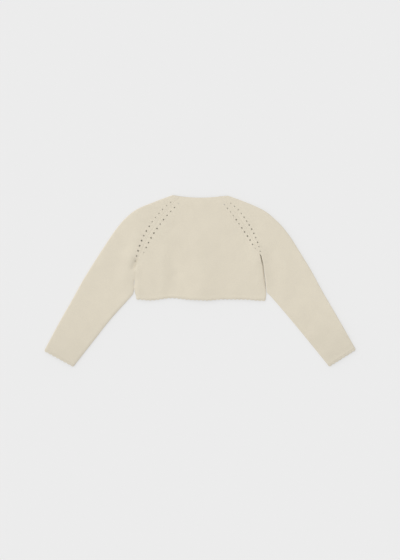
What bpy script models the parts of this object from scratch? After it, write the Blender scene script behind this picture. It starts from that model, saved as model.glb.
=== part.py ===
"""A child's knitted shrug with raglan sleeves, laid flat on its front with its back up.

The garment lies on z = 0 with the neck towards +Y and its left sleeve towards -X, as seen
from behind. Every piece is a wall of knitted cloth. The back and the upper half of each
sleeve lie on the fronts and the lower half of each sleeve, and the layers meet in a round
fold at the sides, the shoulders and the underarms. Two rows of eyelets follow each raglan
seam of the back, and a scalloped edging finishes the hem and the cuffs.

All sizes below are in millimetres. Plan positions are (x, y) from the middle of the floor
that the garment covers.
"""

import bisect
import math
from collections import namedtuple

import bmesh
import bpy
from mathutils import Vector

MM = 0.001

# The cloth and its seams
WALL = 1.6  # thickness of the knit
SEAM = 0.3  # gap between pieces that are sewn to each other
FRONT_GAP = 3.0  # between the two open fronts, at the middle
FOLD_RADIUS = 5.0  # how far a fold reaches in from its edge

# Total height of the two layers as they lie
FULL_HEIGHT = 6.4
EDGE_HEIGHT = 5.0  # at the hem, the neck and the cuffs
EDGE_FALL = 30.0  # how far in from a hem or cuff the cloth reaches its full height
NECK_FALL = 0.16  # the same from the neck, as a share of the raglan seam

# The neck and the fronts
BACK_NECK_SAG = 3.3
FRONT_NECK_DROP = 50.0  # from the raglan's neck end to the middle of the front neck
FRONT_NECK_SAG = 16.0
FRONT_HEM_LIFT = 2.0  # how much shorter the fronts are than the back, at the middle
HEM_FADE = 3  # power by which the hem's waves fade towards the neck
NECK_FADE = 6  # power by which the neck's curve fades towards the hem

# The raglan seams and the sleeves
SHOULDER_SHARE = 0.36  # share of the shoulder fold that lies above the underarm's row

# The eyelets, and the scalloped edging of the hem and the cuffs
EYELET_RADIUS = 1.8
EYELET_SIDES = 8
EYELET_CLEARANCE = 2.0  # how far an eyelet's cutter stands over the cloth
EDGING_DEPTH = 5.6
SCALLOP_PITCH = 9.6
SCALLOP_DEPTH = 1.6
CORNER_RADIUS = 3.2  # of the edging's corners
SCALLOP_STEPS = 4
EDGING_LINES = (0.0, 0.55, 1.0)  # shares of the edging's depth that carry a line of points

# Mesh steps
BODY_ROWS_BELOW = 7  # hem to underarm
BODY_ROWS_ABOVE = 13  # underarm to neck
BACK_COLUMNS = 24
FRONT_COLUMNS = 11
SLEEVE_ROWS_ABOVE = 12  # neck to underarm
SLEEVE_ROWS_BELOW = 18  # underarm to cuff
SLEEVE_COLUMNS = 6
FOLD_STEPS = 3
CURVE_STEPS = 24
SHARP_ANGLE = 40  # degrees between faces from which an edge stays sharp

CREAM = (0.71, 0.66, 0.54, 1.0)
ROUGHNESS = 0.95


class Curve:
    """A smooth plan curve through a few points, read by its share of length."""

    def __init__(self, *points):
        knots = [Vector(point) for point in points]
        before = knots[0] * 2 - knots[1]
        after = knots[-1] * 2 - knots[-2]
        held = [before, *knots, after]
        self.points = [knots[0]]
        for i in range(len(knots) - 1):
            for step in range(1, CURVE_STEPS + 1):
                self.points.append(catmull_rom(held[i : i + 4], step / CURVE_STEPS))
        self.lengths = [0.0]
        for start, end in zip(self.points, self.points[1:]):
            self.lengths.append(self.lengths[-1] + (end - start).length)
        self.length = self.lengths[-1]

    def at(self, share):
        """The point at this share of the length."""
        along = share * self.length
        i = bisect.bisect_right(self.lengths, along) - 1
        i = min(max(i, 0), len(self.points) - 2)
        span = self.lengths[i + 1] - self.lengths[i]
        return self.points[i].lerp(self.points[i + 1], (along - self.lengths[i]) / span)

    def direction(self, share):
        """The unit direction of travel at this share of the length."""
        step = 0.01
        return (self.at(min(share + step, 1)) - self.at(max(share - step, 0))).normalized()


def catmull_rom(knots, t):
    """A point between the two middle knots of four, timed by the roots of their distances."""
    times = [0.0]
    for start, end in zip(knots, knots[1:]):
        times.append(times[-1] + math.sqrt((end - start).length))
    time = times[1] + t * (times[2] - times[1])

    def mix(a, b, start, end):
        return a + (b - a) * ((time - start) / (end - start))

    a1 = mix(knots[0], knots[1], times[0], times[1])
    a2 = mix(knots[1], knots[2], times[1], times[2])
    a3 = mix(knots[2], knots[3], times[2], times[3])
    b1 = mix(a1, a2, times[0], times[2])
    b2 = mix(a2, a3, times[1], times[3])
    return mix(b1, b2, times[1], times[2])


# The outline and the seams of each side, as curves from the neck or the underarm down.
# sign is the side's direction along X, and dip_share the share of its raglan seam over which
# it sinks into the underarm.
Side = namedtuple(
    "Side",
    "name sign dip_share back_raglan front_raglan body_edge sleeve_edge shoulder back_eyelets"
    " sleeve_eyelets",
)
# A row of eyelets: first and pitch run along the raglan seam from the neck, and the other
# sizes are distances from the seam at the row's start, middle and end.
Eyelets = namedtuple("Eyelets", "first pitch count start middle end")
Wave = namedtuple("Wave", "x drop")
Crease = namedtuple("Crease", "x0 y0 x1 y1 reach rise")

LEFT = Side(
    name="left",
    sign=-1,
    dip_share=0.14,
    back_raglan=Curve((-48, 204), (-84, 167), (-114.5, 126), (-133, 93), (-148, 58), (-156, 38)),
    front_raglan=Curve((-57, 184), (-88, 153), (-115.5, 118), (-134, 86), (-148, 56), (-156, 38)),
    body_edge=Curve(
        (-156, 38), (-157.9, 14), (-159, -8), (-159, -17), (-157.7, -22), (-157.2, -27),
        (-155.2, -32), (-154.4, -37),
    ),
    sleeve_edge=Curve(
        (-156, 38), (-158.5, 14), (-159.6, -8), (-159.8, -17), (-160, -22), (-160.9, -27),
        (-162.6, -31.4), (-166.4, -36.3), (-175.5, -46.6), (-216.7, -92.7), (-254.6, -140.9),
        (-301.5, -200.8),
    ),
    shoulder=Curve(
        (-67, 207), (-111, 190.5), (-154.3, 172), (-183.5, 148), (-204.5, 122.6), (-222, 97),
        (-240, 69.5), (-259, 39.8), (-282, 2.6), (-308.6, -45.6), (-336.5, -94.3), (-372.8, -162.1),
    ),
    back_eyelets=Eyelets(15.5, 13.5, 12, start=9.5, middle=8.3, end=7.4),
    sleeve_eyelets=Eyelets(26.7, 12.6, 14, start=6.2, middle=10.2, end=4.4),
)
RIGHT = Side(
    name="right",
    sign=1,
    dip_share=0.06,
    back_raglan=Curve((48, 204), (81, 170), (105, 136), (123, 107), (136.5, 79.5), (145, 60)),
    front_raglan=Curve((57, 184), (85, 154), (107, 124), (124, 98), (137.5, 74.5), (145, 60)),
    body_edge=Curve(
        (145, 60), (150.3, 36), (153.8, 8), (156.6, -18), (157.6, -30), (157, -37), (156.2, -41),
    ),
    sleeve_edge=Curve(
        (145, 60), (151.1, 36), (155, 8), (158, -16), (160, -27), (165.5, -32.5), (179.2, -47.8),
        (218.8, -94.2), (267.6, -153.4), (283.7, -173.2), (305.6, -200.4),
    ),
    shoulder=Curve(
        (67, 205.4), (111.5, 189), (148.4, 172.4), (164.5, 161.8), (177, 150.8), (190.8, 137.8),
        (214, 109.1), (236.7, 73.3), (266, 25.5), (291.7, -22), (320, -70.5), (347.8, -119),
        (370.6, -159.4),
    ),
    back_eyelets=Eyelets(20.4, 12.0, 12, start=8.0, middle=9.4, end=5.4),
    sleeve_eyelets=Eyelets(29.4, 11.15, 13, start=5.6, middle=9.4, end=2.8),
)

# How far the hem line of the back drops under the line between its corners
HEM_WAVES = (
    Wave(-160, 0.7), Wave(-122, 2.9), Wave(-68, -3.1), Wave(-18, 0.7), Wave(14, 1.4),
    Wave(60, -1.9), Wave(102, -2.0), Wave(146, 0.4), Wave(160, 0.4),
)

# Soft troughs (rise below 0) and ridges of the upper layer
CREASES = (
    Crease(-62, 70, -70, -38, reach=19, rise=-1.3),
    Crease(-4, 100, -10, -34, reach=26, rise=0.7),
    Crease(54, 30, 62, -36, reach=20, rise=-0.3),
    Crease(-252, 10, -232, -36, reach=14, rise=-0.7),
    Crease(246, 14, 222, -40, reach=15, rise=-0.7),
    Crease(172, 70, 176, -8, reach=14, rise=-0.8),
    Crease(-192, 108, -178, 60, reach=13, rise=-0.6),
)


def smooth_step(share):
    """0 below 0, 1 above 1, and an S between."""
    share = min(max(share, 0.0), 1.0)
    return share * share * (3 - 2 * share)


def hem_drop(x):
    """The hem's drop at x, eased from wave to wave."""
    for start, end in zip(HEM_WAVES, HEM_WAVES[1:]):
        if x <= end.x:
            share = smooth_step((x - start.x) / (end.x - start.x))
            return start.drop + (end.drop - start.drop) * share
    return HEM_WAVES[-1].drop


def crease_rise(point):
    """How far the soft creases move the upper layer at a plan point."""
    rise = 0.0
    for crease in CREASES:
        start = Vector((crease.x0, crease.y0))
        run = Vector((crease.x1, crease.y1)) - start
        share = min(max((point - start).dot(run) / run.length_squared, 0.0), 1.0)
        away = (point - start - run * share).length / crease.reach
        rise += crease.rise * math.exp(-away * away)
    return rise


def height_at(point, fullness):
    """Total height of both layers. fullness is 0 at a free edge of the cloth and 1 inside."""
    return EDGE_HEIGHT + (FULL_HEIGHT - EDGE_HEIGHT + crease_rise(point)) * fullness


def rounded(along):
    """Reach, sine and cosine of a fold at a distance along the cloth from its edge."""
    if along >= FOLD_RADIUS:
        return along, 1.0, 0.0
    angle = along / FOLD_RADIUS * math.pi / 2
    return FOLD_RADIUS * (1 - math.cos(angle)), math.sin(angle), math.cos(angle)


def columns(width, steps):
    """Distances across a layer: close steps in each fold, even steps between them."""
    near = [FOLD_RADIUS * i / FOLD_STEPS for i in range(FOLD_STEPS)]
    middle = [FOLD_RADIUS + (width - 2 * FOLD_RADIUS) * i / steps for i in range(steps + 1)]
    far = [width - distance for distance in reversed(near)]
    return near + middle + far


# A row of cloth from one edge to the other. A fold of 0 is a cut edge and 1 a round fold.
# A gap is the seam's gap to the other layer at that edge.
Row = namedtuple("Row", "start end start_fold end_fold start_gap end_gap fullness")


def cloth_point(row, along, upper, sag=0.0):
    """Outer and inner point of a layer, at a distance along the row from its start."""
    width = (row.end - row.start).length
    across = (row.end - row.start) / width
    reach, sine, cosine = rounded(along)
    fold, gap, inward = row.start_fold, row.start_gap, WALL * cosine
    if width - along < FOLD_RADIUS:
        reach, sine, cosine = rounded(width - along)
        reach = width - reach
        fold, gap, inward = row.end_fold, row.end_gap, -WALL * cosine
    bend = fold * (1 - sine)
    plan = row.start + across * reach - Vector((0, sag))
    inner_plan = plan + across * inward * fold
    height = height_at(plan, row.fullness)
    if upper:
        middle = (height + gap) / 2
        outer_z = height + (middle - height) * bend
        inner_z = height - WALL + (middle - height + WALL) * bend
    else:
        middle = (height - gap) / 2
        outer_z = middle * bend
        inner_z = WALL + (middle - WALL) * bend
    return (*plan, outer_z), (*inner_plan, inner_z)


def knit_material(name):
    material = bpy.data.materials.new(f"knit_{name}")
    material.use_nodes = True
    shader = material.node_tree.nodes["Principled BSDF"]
    shader.inputs["Base Color"].default_value = CREAM
    shader.inputs["Roughness"].default_value = ROUGHNESS
    return material


def build_wall(name, grid):
    """One closed body from rows of (outer, inner) points."""
    mesh = bpy.data.meshes.new(name)
    piece = bpy.data.objects.new(name, mesh)
    bpy.context.scene.collection.objects.link(piece)
    bm = bmesh.new()
    outer = [[bm.verts.new(Vector(point[0]) * MM) for point in row] for row in grid]
    inner = [[bm.verts.new(Vector(point[1]) * MM) for point in row] for row in grid]
    last_row = len(grid) - 1
    last_column = len(grid[0]) - 1
    for i in range(last_row):
        for j in range(last_column):
            bm.faces.new((outer[i][j], outer[i][j + 1], outer[i + 1][j + 1], outer[i + 1][j]))
            bm.faces.new((inner[i][j], inner[i + 1][j], inner[i + 1][j + 1], inner[i][j + 1]))
    for i in range(last_row):
        for j in (0, last_column):
            bm.faces.new((outer[i][j], outer[i + 1][j], inner[i + 1][j], inner[i][j]))
    for j in range(last_column):
        for i in (0, last_row):
            bm.faces.new((outer[i][j], inner[i][j], inner[i][j + 1], outer[i][j + 1]))
    bmesh.ops.triangulate(bm, faces=bm.faces[:])
    bmesh.ops.recalc_face_normals(bm, faces=bm.faces[:])
    bm.to_mesh(mesh)
    bm.free()
    mesh.shade_smooth()
    mesh.set_sharp_from_angle(angle=math.radians(SHARP_ANGLE))
    mesh.materials.append(knit_material(name))
    return piece


def eyelet_centres(raglan, eyelets, outward):
    """Plan centres of a row of eyelets. outward is 1 on the sleeve and -1 on the back."""
    centres = []
    for i in range(eyelets.count):
        share = (eyelets.first + eyelets.pitch * i) / raglan.length
        turn = 2 * i / (eyelets.count - 1) - 1
        bow = (eyelets.start + eyelets.end) / 2 - eyelets.middle
        away = eyelets.middle + (eyelets.end - eyelets.start) / 2 * turn + bow * turn * turn
        direction = raglan.direction(share)
        side = Vector((-direction.y, direction.x))
        if side.x * raglan.points[0].x < 0:
            side = -side
        centres.append(raglan.at(share) + side * outward * away)
    return centres


def cut_eyelets(piece, centres):
    """Cut round holes through the upper layer of a piece."""
    bm = bmesh.new()
    bottom = FULL_HEIGHT / 2
    top = FULL_HEIGHT + EYELET_CLEARANCE
    for centre in centres:
        made = bmesh.ops.create_cone(
            bm, cap_ends=True, segments=EYELET_SIDES,
            radius1=EYELET_RADIUS * MM, radius2=EYELET_RADIUS * MM, depth=(top - bottom) * MM,
        )
        place = Vector((*centre, (top + bottom) / 2)) * MM
        bmesh.ops.translate(bm, verts=made["verts"], vec=place)
    mesh = bpy.data.meshes.new(f"{piece.name}_eyelet_cutter")
    bm.to_mesh(mesh)
    bm.free()
    cutter = bpy.data.objects.new(mesh.name, mesh)
    bpy.context.scene.collection.objects.link(cutter)
    cutter.hide_render = True
    cutter.display_type = "WIRE"
    cut = piece.modifiers.new("eyelets", "BOOLEAN")
    cut.operation = "DIFFERENCE"
    cut.object = cutter


def dip_at(side, share):
    """How far a raglan seam has sunk into the underarm, at its share of length."""
    return smooth_step((share - 1 + side.dip_share) / side.dip_share)


def neck_fullness(share):
    return smooth_step(share / NECK_FALL)


def moved_in(start, end, distance):
    """The ends of a row, each moved towards the other."""
    across = (end - start).normalized() * distance
    return start + across, end - across


# Where a row of the body or of a sleeve lies: on the stretch below the underarm or above
# it, and its share of that stretch, counted away from the neck.
Place = namedtuple("Place", "below share")

BODY_PLACES = [Place(True, 1 - i / BODY_ROWS_BELOW) for i in range(BODY_ROWS_BELOW + 1)]
BODY_PLACES += [Place(False, 1 - i / BODY_ROWS_ABOVE) for i in range(1, BODY_ROWS_ABOVE + 1)]
SLEEVE_PLACES = [Place(False, i / SLEEVE_ROWS_ABOVE) for i in range(SLEEVE_ROWS_ABOVE)]
SLEEVE_PLACES += [Place(True, i / SLEEVE_ROWS_BELOW) for i in range(SLEEVE_ROWS_BELOW + 1)]
HEM = Place(True, 1.0)


def body_fullness(side, place):
    if place.below:
        return smooth_step((1 - place.share) * side.body_edge.length / EDGE_FALL)
    return neck_fullness(place.share)


def body_edge_at(side, raglan, place):
    """A panel's outer edge and its fold: the side, then the raglan seam."""
    if place.below:
        return side.body_edge.at(place.share), 1.0
    return raglan.at(place.share), dip_at(side, place.share)


def climbed(place):
    """A row's share of the way from the hem to the neck."""
    turn = BODY_ROWS_BELOW / (BODY_ROWS_BELOW + BODY_ROWS_ABOVE)
    return (1 - place.share) * turn if place.below else 1 - place.share * (1 - turn)


def back_row(place, past_hem=0.0):
    """A row of the back, from its left edge to its right edge."""
    left, left_fold = body_edge_at(LEFT, LEFT.back_raglan, place)
    right, right_fold = body_edge_at(RIGHT, RIGHT.back_raglan, place)
    start, end = moved_in(left, right, SEAM / 2)
    down = Vector((0, -past_hem))
    fullness = body_fullness(RIGHT, place)
    return Row(start + down, end + down, left_fold, right_fold, SEAM, SEAM, fullness)


def front_row(side, place, past_hem=0.0):
    """A row of one front, from the side seam to the middle."""
    outer, fold = body_edge_at(side, side.front_raglan, place)
    low = (LEFT.body_edge.at(1).y + RIGHT.body_edge.at(1).y) / 2 + FRONT_HEM_LIFT
    high = side.front_raglan.at(0).y - FRONT_NECK_DROP
    middle = Vector((side.sign * FRONT_GAP / 2, low + (high - low) * climbed(place)))
    start, _ = moved_in(outer, middle, SEAM / 2)
    down = Vector((0, -past_hem))
    return Row(start + down, middle + down, fold, 0.0, SEAM, SEAM, body_fullness(side, place))


def panel_sag(place, row, along, neck_sag):
    """The drop of a panel's row: the hem's wave fades upwards, the neck's curve downwards."""
    share = along / (row.end - row.start).length
    x = row.start.x + (row.end.x - row.start.x) * share
    hem = hem_drop(x) * (1 - climbed(place)) ** HEM_FADE
    return hem + neck_sag * 4 * share * (1 - share) * climbed(place) ** NECK_FADE


def panel_grid(row_at, steps, upper, neck_sag):
    grid = []
    for place in BODY_PLACES:
        row = row_at(place)
        distances = columns((row.end - row.start).length, steps)
        grid.append([
            cloth_point(row, along, upper, panel_sag(place, row, along, neck_sag))
            for along in distances
        ])
    return grid


def make_back():
    back = build_wall("back", panel_grid(back_row, BACK_COLUMNS, True, BACK_NECK_SAG))
    centres = []
    for side in (LEFT, RIGHT):
        centres += eyelet_centres(side.back_raglan, side.back_eyelets, -1)
    cut_eyelets(back, centres)


def make_front(side):
    grid = panel_grid(
        lambda place: front_row(side, place), FRONT_COLUMNS, False, FRONT_NECK_SAG
    )
    build_wall(f"front_{side.name}", grid)


def sleeve_row(side, place, upper, past_cuff=0.0):
    """A row of one layer of a sleeve, from its seam to the shoulder fold."""
    if place.below:
        seam = side.sleeve_edge.at(place.share)
        fold = side.shoulder.at(SHOULDER_SHARE + place.share * (1 - SHOULDER_SHARE))
        dip = 1.0
        fullness = smooth_step((1 - place.share) * side.sleeve_edge.length / EDGE_FALL)
    else:
        seam = (side.back_raglan if upper else side.front_raglan).at(place.share)
        fold = side.shoulder.at(place.share * SHOULDER_SHARE)
        dip = dip_at(side, place.share)
        fullness = neck_fullness(place.share)
    across = (fold - seam).normalized()
    onward = Vector((across.y, -across.x)) * side.sign * past_cuff
    start = seam + across * (SEAM / 2) + onward
    return Row(start, fold + onward, dip, 1.0, SEAM, 0.0, fullness)


def make_sleeve(side):
    grid = []
    for place in SLEEVE_PLACES:
        ring = []
        for upper in (True, False):
            row = sleeve_row(side, place, upper)
            distances = columns((row.end - row.start).length, SLEEVE_COLUMNS)
            layer = [cloth_point(row, along, upper) for along in distances]
            ring += layer if upper else layer[-2::-1]
        grid.append(ring)
    sleeve = build_wall(f"sleeve_{side.name}", grid)
    cut_eyelets(sleeve, eyelet_centres(side.back_raglan, side.sleeve_eyelets, 1))


def edging_depth(along, count, width, line):
    """Depth of a line of the edging at a distance along it, from its seam to its scallops."""
    arch = abs(math.sin(math.pi * along / width * count))
    from_corner = rounded(min(along, width - along))[0]
    short = max(CORNER_RADIUS - from_corner, 0.0)
    corner = CORNER_RADIUS - math.sqrt(CORNER_RADIUS**2 - short**2)
    depth = EDGING_DEPTH - SCALLOP_DEPTH * (1 - arch) - corner
    return SEAM + (depth - SEAM) * line


def make_hem_edging(name, row_at, upper):
    """The scalloped edging below a panel's hem. row_at gives the panel's row past its hem."""
    rim = row_at(HEM)
    width = (rim.end - rim.start).length
    count = round(width / SCALLOP_PITCH)
    steps = count * SCALLOP_STEPS
    grid = []
    for line in EDGING_LINES:
        points = []
        for i in range(steps + 1):
            along = width * i / steps
            row = row_at(HEM, edging_depth(along, count, width, line))
            points.append(cloth_point(row, along, upper, panel_sag(HEM, row, along, 0.0)))
        grid.append(points)
    build_wall(name, grid)


def make_cuff_edging(side):
    """The scalloped edging past a sleeve's end, round both its layers."""
    rim = sleeve_row(side, HEM, True)
    width = (rim.end - rim.start).length
    count = round(width / SCALLOP_PITCH)
    steps = count * SCALLOP_STEPS
    grid = []
    for line in EDGING_LINES:
        ring = []
        for upper in (True, False):
            layer = []
            for i in range(steps + 1):
                along = width * i / steps
                row = sleeve_row(side, HEM, upper, edging_depth(along, count, width, line))
                layer.append(cloth_point(row, along, upper))
            ring += layer if upper else layer[-2::-1]
        grid.append(ring)
    build_wall(f"cuff_edging_{side.name}", grid)


def clear_scene():
    for thing in list(bpy.data.objects):
        bpy.data.objects.remove(thing)


def main():
    clear_scene()
    make_back()
    make_hem_edging("hem_edging_back", back_row, True)
    for side in (LEFT, RIGHT):
        make_front(side)
        make_hem_edging(
            f"hem_edging_front_{side.name}",
            lambda place, past_hem=0.0, side=side: front_row(side, place, past_hem),
            False,
        )
        make_sleeve(side)
        make_cuff_edging(side)


main()
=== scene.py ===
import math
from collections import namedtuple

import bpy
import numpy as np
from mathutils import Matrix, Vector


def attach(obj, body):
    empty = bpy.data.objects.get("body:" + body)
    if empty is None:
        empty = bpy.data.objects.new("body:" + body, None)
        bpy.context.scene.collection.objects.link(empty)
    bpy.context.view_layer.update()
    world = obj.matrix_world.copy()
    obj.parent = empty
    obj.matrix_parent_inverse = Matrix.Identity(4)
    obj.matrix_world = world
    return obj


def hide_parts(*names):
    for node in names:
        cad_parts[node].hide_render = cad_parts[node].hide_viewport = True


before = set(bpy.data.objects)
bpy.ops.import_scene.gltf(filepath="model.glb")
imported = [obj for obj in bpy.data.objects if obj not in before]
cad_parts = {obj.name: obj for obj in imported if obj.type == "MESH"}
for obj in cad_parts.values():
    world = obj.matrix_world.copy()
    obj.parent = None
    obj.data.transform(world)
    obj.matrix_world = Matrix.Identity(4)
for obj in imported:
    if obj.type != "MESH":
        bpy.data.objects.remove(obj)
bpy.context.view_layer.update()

# A child's knitted shrug with raglan sleeves, laid flat on its front with its back up, on a
# pale floor under soft light and seen from straight above.
#
# Each CAD solid is replaced by a thin shell of knit on the same form: fine meshes with the
# soft creases of cloth that lies loosely, seams that sink a little, open eyelets along the
# raglan seams, and scalloped edging at the hem and the cuffs. Sizes are in millimetres,
# and plan positions are (x, y) from the middle of the floor that the garment covers.

MM = 0.001
BODY = "root"

# The cloth as it lies, as in the solids
FOLD_RADIUS = 5.0  # how far a fold reaches in from its edge
FULL_HEIGHT = 5.4  # height of the two layers, of a softer cloth than the solids' 6.4
EDGE_HEIGHT = 4.7  # their height at the hem, the neck and the cuffs
EDGE_FALL = 30.0  # how far in from a hem or cuff the cloth reaches its full height
NECK_FALL = 0.16  # the same from the neck, as a share of the raglan seam
BACK_NECK_SAG = 3.3  # how far the neck hollows below the line between its corners
FRONT_GAP = 3.0  # between the two open fronts
FRONT_NECK_DROP = 50.0  # from the raglan's neck end to the middle of the front neck
FRONT_NECK_SAG = 16.0
FRONT_HEM_LIFT = 2.0  # how much shorter the fronts are than the back, at the middle
UNDERARM_CLIMB = 7 / 20  # share of the climb from hem to neck that a side's edge makes
HEM_FADE = 3  # power by which the hem's waves fade towards the neck
NECK_FADE = 6  # power by which the neck's curve fades towards the hem
SHOULDER_SHARE = 0.36  # share of the shoulder fold that lies above the underarm's row
EDGING_DEPTH = 5.6
SCALLOP_PITCH = 9.6
SCALLOP_DEPTH = 1.6
CORNER_RADIUS = 3.2  # of the edging's corners

# The shell and its small relief, which only the looks have
SHELL = 1.3  # thickness of the knit
SEAM_LAP = 0.15  # how far each piece reaches past a seam's line
SEAM_SINK = 0.45  # depth and half width of the channel in which a seam lies
SEAM_REACH = 1.7
SLIT_ONSET = 4  # how suddenly the underarm's slit opens
HEM_SWELL = 0.6  # how much thicker the last of a hem or cuff gets towards its edging
HEM_SWELL_REACH = 3.6
NECK_ROLL = 0.5  # how far the last of the neck turns down
NECK_ROLL_REACH = 3.6
EDGE_SLACK = 0.4  # share of a crease's height that still reaches a free edge
THIN_AT_HEM = 0.3  # share of a fold's thinning that the hem and the cuffs keep
EYELET_RIM = 0.14  # height and half width of the ring of cloth round an eyelet
EYELET_RIM_REACH = 0.9
EDGING_RISE = 0.1  # how much thicker the edging is than the cloth's edge
EDGING_RISE_SHARE = 0.4  # share of its depth over which it gets so thick
EDGING_FALL = 1.4  # how much lower its tip lies than its join
EDGING_PUFF = 0.2  # how far the middle of a scallop swells
EDGING_PUFF_LEAN = 1.15  # above 1, the swell is highest nearer the join than the tip
PICOT_RADIUS = 0.42  # small holes between scallops, beside the join
PICOT_SPREAD = 0.2  # how much their radii vary
PICOT_DEPTH = 2.6  # from the join

# Mesh steps
CURVE_STEPS = 24
DIRECTION_STEP = 0.01  # share of a curve over which its direction is read
FOLD_STEPS = 7
SEAM_ZONE = 21.0  # from a raglan seam, meshed finely for the eyelets
SEAM_ZONE_STEPS = 13
ZONE_SHARE = 0.42  # most of a narrow row that the fine steps of one edge take
HEM_STEP = 0.005  # share of a side that the row of cloth beside a hem or a cuff takes
BACK_ROWS = (46, 120)  # hem to underarm, underarm to neck
BACK_COLUMNS = 104
FRONT_ROWS = (38, 92)
FRONT_COLUMNS = 58
SLEEVE_ROWS = (118, 150)  # neck to underarm, underarm to cuff
SLEEVE_COLUMNS = 46
SCALLOP_STEPS = 12
EDGING_LINES = (0, 0.04, 0.15, 0.3, 0.45, 0.6, 0.8, 0.95, 1)  # shares of its depth
HOLE_SEARCH = 3  # radii round a hole in which its faces are looked for
HOLE_FACES = 4  # that a hole takes out at least
HOLE_MARGIN = 0.2  # share of a face's size by which a hole's faces stay inside its rim
HOLE_TIE = 1e-6  # faces as far away as the last of these go too
EYELET_LOWEST = EDGE_HEIGHT / 2  # faces below this are the lower layer's and stay
PICOT_LOWEST = EDGE_HEIGHT / 3

# The knit. Scales of noise are for positions in metres.
CREAM = (0.7475, 0.686, 0.563)
KNIT_FINISH = {
    "Roughness": 0.92,
    "Specular IOR Level": 0.18,
    "Sheen Weight": 0.22,
    "Sheen Roughness": 0.55,
    "Sheen Tint": (1.0, 0.97, 0.9, 1.0),
}
CLOTH_STITCH = (1.9, 1.5)  # width and height of a stitch
EDGING_STITCH = (1.6, 1.4)
DRIFT = 0.9  # how far the yarn strays, in stitches
DRIFT_NOISE = 420.0
WALE_DRIFT = 0.35  # share of that by which it strays across its column
LEG_SLANT = 0.85  # how far the legs of a V rise, in stitches
STRAND_POWER = 0.6  # below 1, strands are full and the valleys between them narrow
STITCH_WAVE = 0.6  # share of a strand's height that comes and goes along it
NAP = 0.35  # height of the fuzz, against that of a strand
NAP_NOISE = 2600.0
NAP_SEED = 3
BUMP_STRENGTH = 0.55
BUMP_DISTANCE = 0.4
VALLEY_PAINTED_SHADE = 0.10  # painted shade: how much darker the colour is made between the strands, where shade falls
VALLEY_SHADE_LEVEL = 0.55  # height of a strand at which that painted shade is nil
Mottle = namedtuple("Mottle", "scale seed detail strength")
MOTTLES = (Mottle(38.0, 5, 4.0, 0.065), Mottle(330.0, 7, 3.0, 0.08), Mottle(9.0, 9, 2.0, 0.05))
PAINTED_FALLOFF_SHADE = -0.045  # painted shade: how much darker the colour is made at the cuffs than above the hem, as the light falls off downwards
RIGHT_PAINTED_FALLOFF_SHADE = -0.062  # the same painted shade on the right, deeper as it is farther from the window
PAINTED_FALLOFF_START = -0.03  # where that painted shade begins and where it is whole, in metres along y
PAINTED_FALLOFF_END = -0.20

# The floor, the light and the camera
FLOOR_TONE = 0.42
FLOOR_GLOW = 0.42  # the floor is a pale light table, so shadows on it stay slight
FLOOR_GRAIN = 0.002
FLOOR_GRAIN_NOISE = 30.0
FLOOR_REACH = 20.0  # in metres
FLOOR_DROP = 0.1  # how far it lies under the garment's underside
FLOOR_FINISH = {
    "Roughness": 0.9,
    "Specular IOR Level": 0.0,
    "Emission Color": (1.0, 1.0, 1.0, 1.0),
    "Emission Strength": FLOOR_GLOW,
}
WORLD_LIGHT = 0.917
WORLD_LEAN = (-0.3, 0.2, 0.0)  # the studio is brighter towards here
SUN_LIGHT = 0.3
SUN_FROM = (-0.5, 0.3, 1.0)
SUN_ANGLE = 60.0
LENS = 85.0
SENSOR = 36.0
CLIP_END = 100.0  # in metres
PICTURE_HEIGHT = 1344.0  # of the floor that the picture shows
PICTURE_MIDDLE = (-1.2, 3.4)


class Curve:
    """A smooth plan curve through a few points, read by its share of length."""

    def __init__(self, *points):
        knots = np.array(points, dtype=float)
        held = np.vstack([knots[0] * 2 - knots[1], knots, knots[-1] * 2 - knots[-2]])
        made = [knots[0]]
        for i in range(len(knots) - 1):
            for step in range(1, CURVE_STEPS + 1):
                made.append(catmull_rom(held[i : i + 4], step / CURVE_STEPS))
        self.points = np.array(made)
        spans = np.linalg.norm(np.diff(self.points, axis=0), axis=1)
        self.lengths = np.concatenate([[0.0], np.cumsum(spans)])
        self.length = self.lengths[-1]

    def at(self, share):
        """The points at these shares of the length."""
        along = np.asarray(share, dtype=float) * self.length
        xy = [np.interp(along, self.lengths, self.points[:, k]) for k in (0, 1)]
        return np.stack(xy, axis=-1)

    def direction(self, share):
        """The unit directions of travel at these shares of the length."""
        share = np.asarray(share, dtype=float)
        before, after = np.maximum(share - DIRECTION_STEP, 0), np.minimum(share + DIRECTION_STEP, 1)
        run = self.at(after) - self.at(before)
        return run / np.linalg.norm(run, axis=-1, keepdims=True)


def catmull_rom(knots, t):
    """A point between the two middle knots of four, timed by the roots of their distances."""
    times = [0.0]
    for start, end in zip(knots, knots[1:]):
        times.append(times[-1] + math.sqrt(np.linalg.norm(end - start)))
    time = times[1] + t * (times[2] - times[1])

    def mix(a, b, start, end):
        return a + (b - a) * ((time - start) / (end - start))

    a1 = mix(knots[0], knots[1], times[0], times[1])
    a2 = mix(knots[1], knots[2], times[1], times[2])
    a3 = mix(knots[2], knots[3], times[2], times[3])
    b1 = mix(a1, a2, times[0], times[2])
    b2 = mix(a2, a3, times[1], times[3])
    return mix(b1, b2, times[1], times[2])


# Each side's outline and seams, from the neck or the underarm down. dip_share is the share
# of its raglan seam over which it sinks into the underarm. Eyelets run along that seam, from
# first on in steps of pitch. Their distance from it changes from the row's start over its
# middle to its end, and radii gives the size of each hole.
Eyelets = namedtuple("Eyelets", "first pitch start middle end radii")
Side = namedtuple(
    "Side",
    "name sign dip_share back_raglan front_raglan body_edge sleeve_edge shoulder back_eyelets"
    " sleeve_eyelets body_side sleeve_side shoulder_turn",
)
# How cloth turns over at an edge, from the underarm down: at each distance how far it
# reaches past its outline (below 0 it leaves a slit), how high up its layers meet, how much
# lower than inside it lies and from how far in, the radius of its turn, and how far its lower
# layer reaches out further
Turn = namedtuple("Turn", "distance reach level drop fade radius lip")
Wave = namedtuple("Wave", "x drop")
Crease = namedtuple("Crease", "x0 y0 x1 y1 reach rise")

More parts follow.
